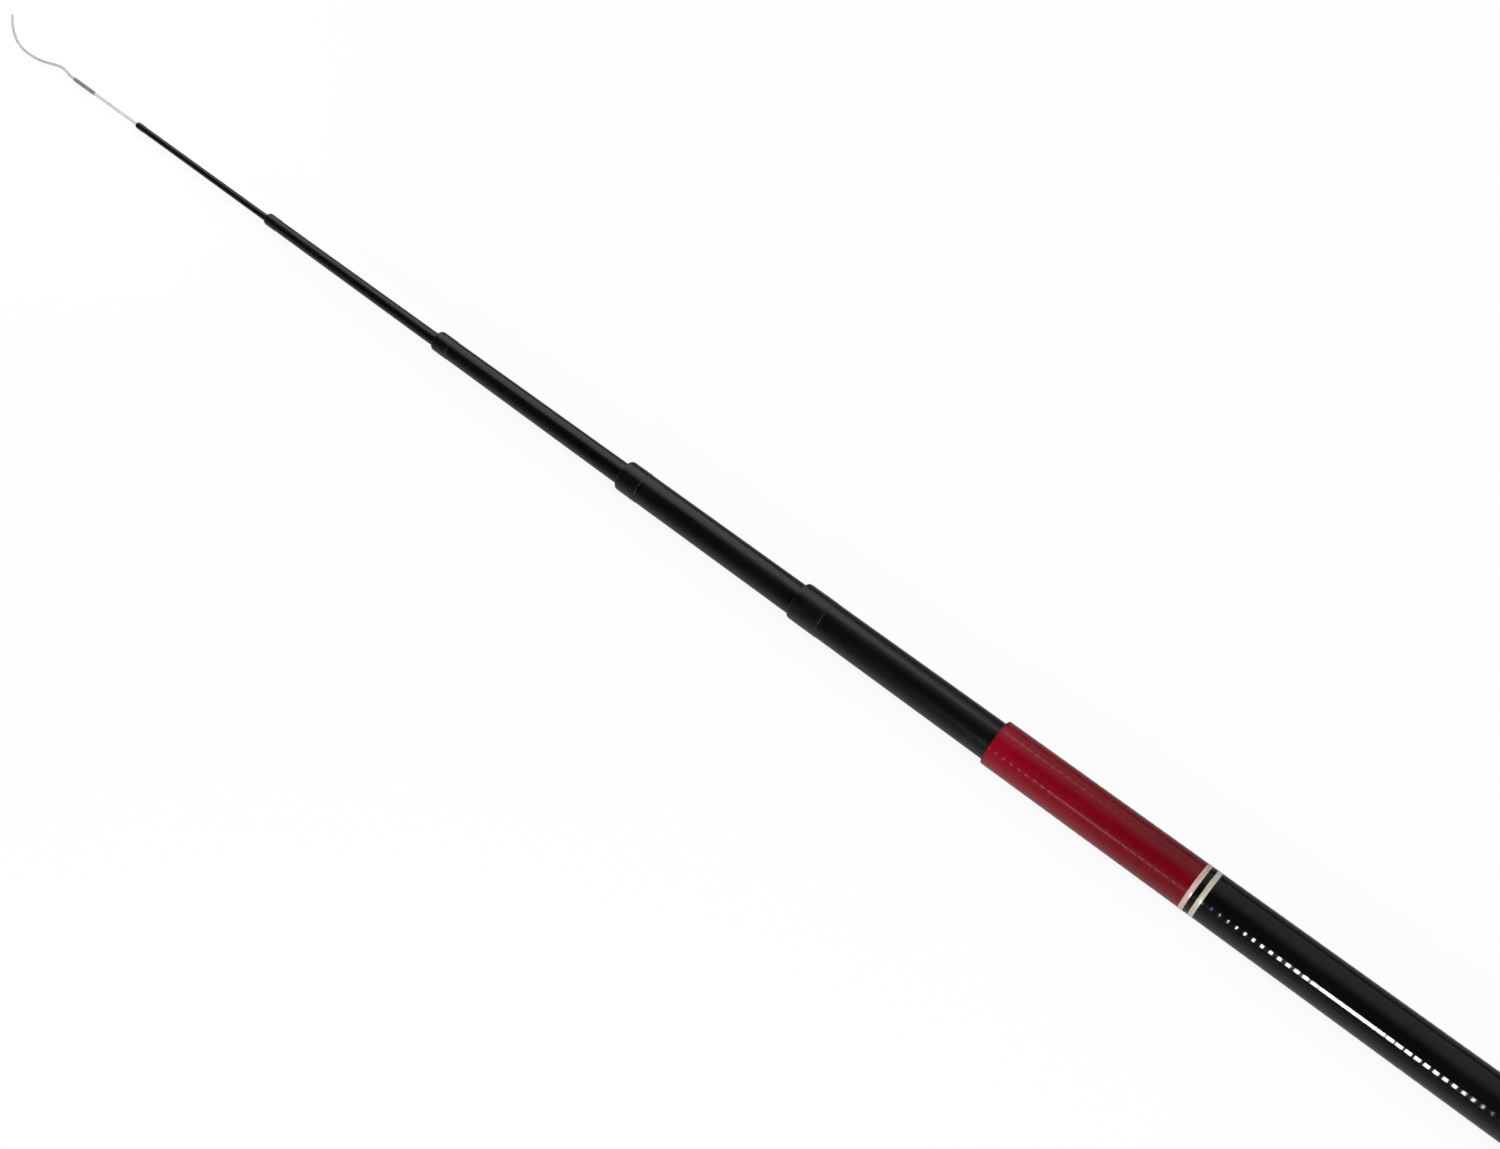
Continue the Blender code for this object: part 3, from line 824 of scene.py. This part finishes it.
sections = {
    "names": ("second", "third", "fourth", "fifth", "sixth"),
    "ringSpacing": 6.0,
    "lipShare": 0.3,        # of the wall
    "sides": 72,
    "threadPitch": 0.5,     # coarser than real thread, so that it shows
    "threadDepth": 0.035,
    "ringsPerThread": 5,
    "varnishFeather": 1.2,  # the varnish runs out over this length at the rear of the binding
    "frontFeather": 0.3,    # share of that length over which it runs out at the front
    "edgeHeight": 0.02,     # of the varnish at the binding's edges
    "threadFloor": 0.05,    # height above the bore from which the binding shows turns of thread
    "endZone": 0.01,        # length at the front end over which the binding's radii are read
    "wornAndHighlightRing": 0.5,      # length of the ring at the rear of the binding that is pale with wear and with a painted highlight
}


def threadTurns(pitch, depth, floor):
    def shape(x, radius, around):
        crown = np.abs(np.sin(math.pi * (x / pitch + around / turn)))
        return np.where(radius > floor, radius - depth * (1 - crown), radius)
    return shape


def makeSection(name):
    tube = measureTube(name + "_tube")
    lip = tube["wall"] * sections["lipShare"]
    places = evenly(tube["mouth"] - lip, tube["seat"], sections["ringSpacing"])[1:]
    run = [(x, outside(tube, x)) for x in places]
    loop = tubeLoop(tube, lip, run)
    thing = turnedMesh(name + "_sanded_tube", loop, tube["axis"], sections["sides"])
    dress(thing, finish["sandedBlank"], name, name + "_tube")
    paintTube(thing, tube, lip)

    node = name + "_binding"
    rear, front = endsOf(node)
    x, r = radiiOf(node)
    atFront = x > front - sections["endZone"]
    high = r[atFront].max() - tube["mouthRadius"]
    low = r[atFront].min() - tube["mouthRadius"]
    edge = low + sections["edgeHeight"]
    feather = sections["varnishFeather"]
    spacing = sections["threadPitch"] / sections["ringsPerThread"]

    def height(x):
        fromRear = min(1.0, (x - rear) / feather)
        fromFront = min(1.0, (front - x) / (feather * sections["frontFeather"]))
        return edge + (high - edge) * math.sqrt(max(0.0, min(fromRear, fromFront)))

    loop = [(x, outside(tube, x) + height(x)) for x in evenly(front, rear, spacing)]
    loop += [(x, outside(tube, x) + low) for x in (rear, front)]
    floor = tube["mouthRadius"] + low + sections["threadFloor"]
    wound = threadTurns(sections["threadPitch"], sections["threadDepth"], floor)
    thing = turnedMesh(name + "_thread_binding", loop, tube["axis"], sections["sides"], wound)
    dress(thing, finish["varnishedThread"], name, node)
    thing.data.materials.append(finish["wornEdgeAndHighlight"])
    # The binding's rear ring takes the pale finish: partly wear, partly a painted highlight on the varnish's
    # edge
    for face in thing.data.polygons:
        if face.center.x / mm < rear + sections["wornAndHighlightRing"]:
            face.material_index = 1


for section in sections["names"]:
    makeSection(section)


print("tip: glass-fibre rod and the whipping that holds the line on it")

tip = {
    "rodSides": 28,
    "whipPitch": 0.36,
    "whipDepth": 0.07,
    "ringsPerWhip": 6,
    "sleeveSides": 32,
    "rodLip": 0.15,
    "rodSpacing": 6.0,
    "frontZone": 1.0,        # length at the rod's front over which its radius is read
    "sleeveTaper": 1.2,      # length over which the whipping thins at each end
    "sleeveEndWall": 0.06,   # its thickness there
    "whipFloor": 0.02,       # height above the bore from which the turns of thread show
    "sameRadius": 0.01,      # radii nearer than this are one radius
}


def makeTip():
    x, r = radiiOf("tip_rod")
    rear, front = endsOf("tip_rod")
    axis = axisOf("tip_rod")
    frontRadius = r[x > front - tip["frontZone"]].max()
    baseRadius = r.max()
    seat = x[r > baseRadius - tubeLayout["sameRadius"]].max()
    shoulder = endsOf("tip_sleeve")[0]
    lip = tip["rodLip"]
    places = evenly(shoulder, seat, tip["rodSpacing"])
    radii = np.interp(places, [seat, shoulder], [baseRadius, frontRadius])
    profile = [(front, 0.0)] + arc(front - lip, frontRadius - lip, lip, 0, 90)
    profile += list(zip(places, radii))
    profile += arc(rear + lip, baseRadius - lip, lip, 90, 180) + [(rear, 0.0)]
    rod = turnedMesh("glass_fibre_rod", profile, axis, tip["rodSides"])
    dress(rod, finish["glassFibre"], "tip", "tip_rod")


def makeSleeve():
    rear, front = endsOf("tip_sleeve")
    axis = axisOf("tip_sleeve")
    x, r = radiiOf("tip_sleeve")
    sleeveRadius = r.max()
    boreRadius = r[x < rear + tip["sameRadius"]].min()
    spacing = tip["whipPitch"] / tip["ringsPerWhip"]
    taper = tip["sleeveTaper"]
    endRadius = boreRadius + tip["sleeveEndWall"]
    boreEnd = x[np.abs(r - boreRadius) < tip["sameRadius"]].max()

    def outer(x):
        fromEnd = min(1.0, (x - rear) / taper, (front - x) / taper)
        return endRadius + (sleeveRadius - endRadius) * math.sqrt(max(0.0, fromEnd))

    # A blind bore from the rear takes the tip, and the front is wound shut round the line's root
    profile = [(front, 0.0)] + [(x, outer(x)) for x in evenly(front, rear, spacing)]
    profile += [(rear, boreRadius), (boreEnd, boreRadius), (boreEnd, 0.0)]
    whip = threadTurns(tip["whipPitch"], tip["whipDepth"], boreRadius + tip["whipFloor"])
    sleeve = turnedMesh("thread_whipping", profile, axis, tip["sleeveSides"], whip)
    dress(sleeve, finish["whippingThread"], "tip", "tip_sleeve")


makeTip()
makeSleeve()


print("end: screw cap, cushion, seal and collar")

cap = {
    "ribs": 30,
    "ribDepth": 0.45,
    "stepsPerRib": 8,
    "edge": 0.7,
    "threadPitch": 1.5,
    "threadDepth": 0.5,
    "threadRings": 10,      # for each turn of the thread
    "faceGrooveRadius": 7.2,
    "faceGrooveWidth": 0.7,
    "faceGrooveDepth": 0.35,
    "sideSpacing": 0.6,     # between the rings of the head's side
    "ribFade": 0.7,         # share of the rounded edge over which the ribs run out
    "spigotChamfer": 0.25,
    "recessChamfer": 0.2,
    "threadFrom": 0.8,      # from the head to the thread
    "threadTo": 0.4,        # from the thread to the spigot's end
    "threadBand": 0.05,     # a face this near to its radius takes the thread
    "sameRadius": 0.01,     # radii and places nearer than this are one
    "headShare": 0.9,       # only the head reaches this share of the greatest radius
    "spigotStart": 1.0,     # from the head to where the spigot's radius is read
}


def screwThread(direction, start, end, faceRadius):
    # A right-hand thread cut inwards (-1) or outwards (1) from the face at one radius, run out at both ends
    floor = faceRadius - cap["threadBand"]
    ceiling = faceRadius + cap["threadBand"]

    def shape(x, radius, around):
        place = (x / cap["threadPitch"] - around / turn) % 1.0
        cut = np.clip(1.4 - np.abs(place - 0.5) * 4.0, 0.0, 1.0)    # flat floor and crest, sloping flanks
        runOut = np.clip(np.minimum(x - start, end - x) / cap["threadPitch"], 0.0, 1.0)
        wanted = (radius > floor) & (radius < ceiling)
        return np.where(wanted, radius + direction * cap["threadDepth"] * cut * runOut, radius)
    return shape


def makeCap():
    x, r = radiiOf("end_cap")
    rear, front = endsOf("end_cap")
    axis = axisOf("end_cap")
    headRadius = r.max()
    headFront = x[r > headRadius * cap["headShare"]].max()
    spigotRadius = r[x > headFront + cap["spigotStart"]].max()
    recessRadius = r[x > front - cap["sameRadius"]].min()
    recessFloor = x[np.abs(r - recessRadius) < cap["sameRadius"]].min()
    edge = cap["edge"]
    groove = cap["faceGrooveRadius"]
    half = cap["faceGrooveWidth"] / 2
    deep = cap["faceGrooveDepth"]
    ringEvery = cap["threadPitch"] / cap["threadRings"]
    chamfer = cap["spigotChamfer"]
    inner = cap["recessChamfer"]

    profile = [(rear, 0.0)]
    profile += [(rear, groove - half), (rear + deep, groove - half * 0.5), (rear + deep, groove + half * 0.5)]
    profile += [(rear, groove + half)]
    profile += arc(rear + edge, headRadius - edge, edge, 180, 90, 5)
    profile += [(x, headRadius) for x in evenly(rear + edge, headFront - edge, cap["sideSpacing"])[1:]]
    profile += arc(headFront - edge, headRadius - edge, edge, 90, 0, 5)
    profile += [(headFront, spigotRadius)]
    profile += [(x, spigotRadius) for x in evenly(headFront, front - chamfer, ringEvery)[1:]]
    profile += [(front, spigotRadius - chamfer), (front, recessRadius + inner), (front - inner, recessRadius)]
    profile += [(recessFloor, recessRadius), (recessFloor, 0.0)]

    ribFloor = headRadius - edge * cap["ribFade"]
    thread = screwThread(-1, headFront + cap["threadFrom"], front - cap["threadTo"], spigotRadius)

    def ribs(x, radius, around):
        valley = 0.5 - 0.5 * np.cos(around * cap["ribs"])
        onSide = np.clip((radius - ribFloor) / (headRadius - ribFloor), 0.0, 1.0)
        return thread(x, radius, around) - cap["ribDepth"] * valley * onSide

    thing = turnedMesh("ribbed_screw_cap", profile[::-1], axis, cap["ribs"] * cap["stepsPerRib"], ribs)
    dress(thing, finish["mouldedPlastic"], "cap", "end_cap")


cushion = {
    "edge": 0.9,
    "hollow": ((0.25, 0.0), (0.2, 0.45), (0.02, 0.8)),   # depths in the worn face, at shares of the radius
    "waist": 0.12,         # the foam draws in between the face that is pressed and the recess that holds it
    "rearChamfer": 0.3,
    "ringSpacing": 0.5,
    "sides": 64,
}


def makeCushion():
    rear, front = endsOf("cap_cushion")
    radius = radiiOf("cap_cushion")[1].max()
    edge = cushion["edge"]
    chamfer = cushion["rearChamfer"]
    profile = [(front - depth, radius * share) for depth, share in cushion["hollow"]]
    profile += arc(front - edge, radius - edge, edge, 70, 90, 3)
    for x in evenly(front - edge, rear + chamfer, cushion["ringSpacing"])[1:]:
        drawn = math.sin(math.pi * (front - edge - x) / (front - edge - rear))
        profile.append((x, radius - cushion["waist"] * drawn))
    profile += [(rear, radius - chamfer), (rear, 0.0)]
    thing = turnedMesh("foam_cushion", profile, axisOf("cap_cushion"), cushion["sides"])
    dress(thing, finish["foamRubber"], "cap", "cap_cushion")


seal = {"sides": 96, "steps": 20}    # round the butt, and round the ring's own section


def makeSeal():
    rear, front = endsOf("cap_seal")
    radii = radiiOf("cap_seal")[1]
    middle = (radii.max() + radii.min()) / 2
    size = (front - rear) / 2
    lastAngle = 360 - 360 / seal["steps"]
    profile = arc((front + rear) / 2, middle, size, 0, lastAngle, seal["steps"] - 1)
    thing = turnedMesh("rubber_seal_ring", profile, axisOf("cap_seal"), seal["sides"])
    dress(thing, finish["sealRubber"], "cap_travel", "cap_seal")


collar = {"edge": 0.25, "threadMargin": 0.3, "sides": 120}


def makeCollar():
    r = radiiOf("end_collar")[1]
    rear, front = endsOf("end_collar")
    outer = r.max()
    bore = r.min()
    edge = collar["edge"]
    margin = collar["threadMargin"]
    ringEvery = cap["threadPitch"] / cap["threadRings"]
    profile = [(front, outer - edge), (front - edge, outer), (rear, outer), (rear, bore + edge)]
    profile += [(x, bore) for x in evenly(rear + edge, front - edge, ringEvery)]
    profile += [(front, bore + edge)]
    thread = screwThread(1, rear + margin, front - margin, bore)
    thing = turnedMesh("threaded_collar", profile, axisOf("end_collar"), collar["sides"], thread)
    dress(thing, finish["mouldedPlastic"], "butt", "end_collar")


makeCap()
makeCushion()
makeSeal()
makeCollar()


print("studio: white paper, five lamps and a dim room")

studio = {
    "floorSize": 32000.0,
    "paperRise": 5400.0,         # height to which the paper turns up at its edges
    "paperDark": "#e4e4e4",
    "paperLight": "#ececec",
    "paperFibre": (1.2, 1.2),
    "cameraShading": 0.1,        # how much of the floor's white answers to the lamps
    "cameraOwnLight": 0.9,
    "glossShading": 0.52,
    "glossOwnLight": 0.06,
    "glossNear": 15.0,           # in a gloss, a painted pool of light: the paper's white fades between these distances from the pole
    "glossFar": 70.0,
    "glossFarShare": 0.4,
    "backWall": 0.46,
    "frontWall": 0.012,
    "wallSpan": (-0.5, 0.3),     # where the back wall's light gives way to the front wall's, by direction
}

# Powers are in watts, and a sun's is its strength. A spread is in degrees from side to side.
lamps = {
    "key_lamp": {
        "kind": "AREA", "at": (336.0, 831.0, 366.0), "facing": (380.0, 0.0, 0.0),
        "size": (150.0, 230.0), "power": 3.6,
    },
    # A dim lamp beyond the key draws the faint broken streak on the red wrap
    "wrap_lamp": {
        "kind": "AREA", "at": (612.0, 831.0, 366.0), "facing": (640.0, 0.0, 0.0),
        "size": (150.0, 120.0), "power": 0.1,
    },
    "soft_panel": {
        "kind": "AREA", "at": (1850.0, -1050.0, 1250.0), "facing": (800.0, 0.0, 0.0),
        "size": (1900.0, 1900.0), "power": 8.6,
    },
    # A far soft light beyond the butt's end, where only its direction counts
    "end_light": {
        "kind": "SUN", "at": (-750.0, 150.0, 650.0), "facing": (0.0, 0.0, 0.0),
        "spread": 30.0, "power": 2.2,
    },
    "tip_light": {
        "kind": "SPOT", "at": (650.0, 60.0, 500.0), "facing": (1260.0, 0.0, 0.0),
        "spread": 42.0, "bulb": 60.0, "power": 6.0,
    },
}


def addLamp(name, lamp):
    light = bpy.data.lights.new(name, lamp["kind"])
    light.energy = lamp["power"]
    if lamp["kind"] == "AREA":
        light.shape = "RECTANGLE"
        light.size, light.size_y = [side * mm for side in lamp["size"]]
    elif lamp["kind"] == "SUN":
        light.angle = math.radians(lamp["spread"])
    else:
        light.spot_size = math.radians(lamp["spread"])
        light.spot_blend = 1.0
        light.shadow_soft_size = lamp["bulb"] * mm
    thing = bpy.data.objects.new(name, light)
    thing.location = Vector(lamp["at"]) * mm
    look = (Vector(lamp["facing"]) - Vector(lamp["at"])) * mm
    thing.rotation_euler = look.to_track_quat("-Z", "Y").to_euler()
    thing.visible_camera = False
    bpy.context.scene.collection.objects.link(thing)


def makeFloor(height):
    # The paper turns up far away on all sides, so that a low view still ends in white
    half = studio["floorSize"] * mm / 2
    top = height + studio["paperRise"] * mm
    corners = [(-half, -half), (half, -half), (half, half), (-half, half)]
    corners = [(x, y, height) for x, y in corners] + [(x, y, top) for x, y in corners]
    sides = [[i, (i + 1) % 4, (i + 1) % 4 + 4, i + 4] for i in range(4)]
    floor = meshObject("floor", np.array(corners), [[0, 1, 2, 3]] + sides)
    floor.data.materials.append(makePaper())


def makePaper():
    # Matt white paper. The camera sees it white, with a faint part of its real shading. A gloss sees the
    # same paper with more of the pole's shadow in it, and with a painted pool of light: its white is faded by
    # the distance from the pole, not by a lamp. Every other ray finds plain pale paper.
    material, tree = startMaterial("matt_white_paper")
    rays = addNode(tree, "ShaderNodeLightPath").outputs
    gloss = addNode(tree, "ShaderNodeMath", {
        0: rays["Is Glossy Ray"], 1: rays["Is Transmission Ray"],
    }, operation="ADD", use_clamp=True)
    seen = addNode(tree, "ShaderNodeMath", {
        0: rays["Is Camera Ray"], 1: gloss,
    }, operation="ADD", use_clamp=True)
    fibre = surfacePattern(tree, studio["paperFibre"], detail=3.0)
    paper = addNode(tree, "ShaderNodeMix", {
        0: fibre, 6: hexColour(studio["paperDark"]), 7: hexColour(studio["paperLight"]),
    }, data_type="RGBA")
    plain = addNode(tree, "ShaderNodeBsdfDiffuse", {"Color": paper})

    place = addNode(tree, "ShaderNodeTexCoord").outputs["Object"]
    parts = addNode(tree, "ShaderNodeSeparateXYZ", {"Vector": place})
    away = addNode(tree, "ShaderNodeMath", {0: parts.outputs["Y"]}, operation="ABSOLUTE")
    # A painted pool of light: in a gloss, the paper is darker the farther it lies from the pole's line
    paintedLightPool = addNode(tree, "ShaderNodeMapRange", {
        "Value": away, "From Min": studio["glossNear"] * mm, "From Max": studio["glossFar"] * mm,
        "To Min": 1.0, "To Max": studio["glossFarShare"],
    }, interpolation_type="SMOOTHSTEP")
    glossShare = addNode(tree, "ShaderNodeMath", {0: paintedLightPool, 1: studio["glossShading"]}, operation="MULTIPLY")
    glossOwn = addNode(tree, "ShaderNodeMath", {0: paintedLightPool, 1: studio["glossOwnLight"]}, operation="MULTIPLY")
    share = addNode(tree, "ShaderNodeMapRange", {
        "Value": gloss, "To Min": studio["cameraShading"], "To Max": glossShare,
    })
    own = addNode(tree, "ShaderNodeMapRange", {
        "Value": gloss, "To Min": studio["cameraOwnLight"], "To Max": glossOwn,
    })
    shaded = addNode(tree, "ShaderNodeBsdfDiffuse", {"Color": share})
    glow = addNode(tree, "ShaderNodeEmission", {"Strength": own})
    white = addNode(tree, "ShaderNodeAddShader", {0: shaded, 1: glow})
    either = addNode(tree, "ShaderNodeMixShader", {0: seen, 1: plain, 2: white})
    addNode(tree, "ShaderNodeOutputMaterial", {"Surface": either})
    return material


def makeRoom():
    # The same dim room for every ray, lighter behind the pole than in front of it
    world = bpy.data.worlds.new("room")
    bpy.context.scene.world = world
    world.use_nodes = True
    tree = world.node_tree
    tree.nodes.clear()
    direction = addNode(tree, "ShaderNodeTexCoord").outputs["Generated"]
    parts = addNode(tree, "ShaderNodeSeparateXYZ", {"Vector": direction})
    walls = addNode(tree, "ShaderNodeMapRange", {
        "Value": parts.outputs["Y"], "From Min": studio["wallSpan"][0], "From Max": studio["wallSpan"][1],
        "To Min": studio["backWall"], "To Max": studio["frontWall"],
    }, interpolation_type="SMOOTHSTEP")
    glow = addNode(tree, "ShaderNodeBackground", {"Strength": walls})
    addNode(tree, "ShaderNodeOutputWorld", {"Surface": glow})


makeFloor(cadBox[0].z)
makeRoom()
for name, lamp in lamps.items():
    addLamp(name, lamp)
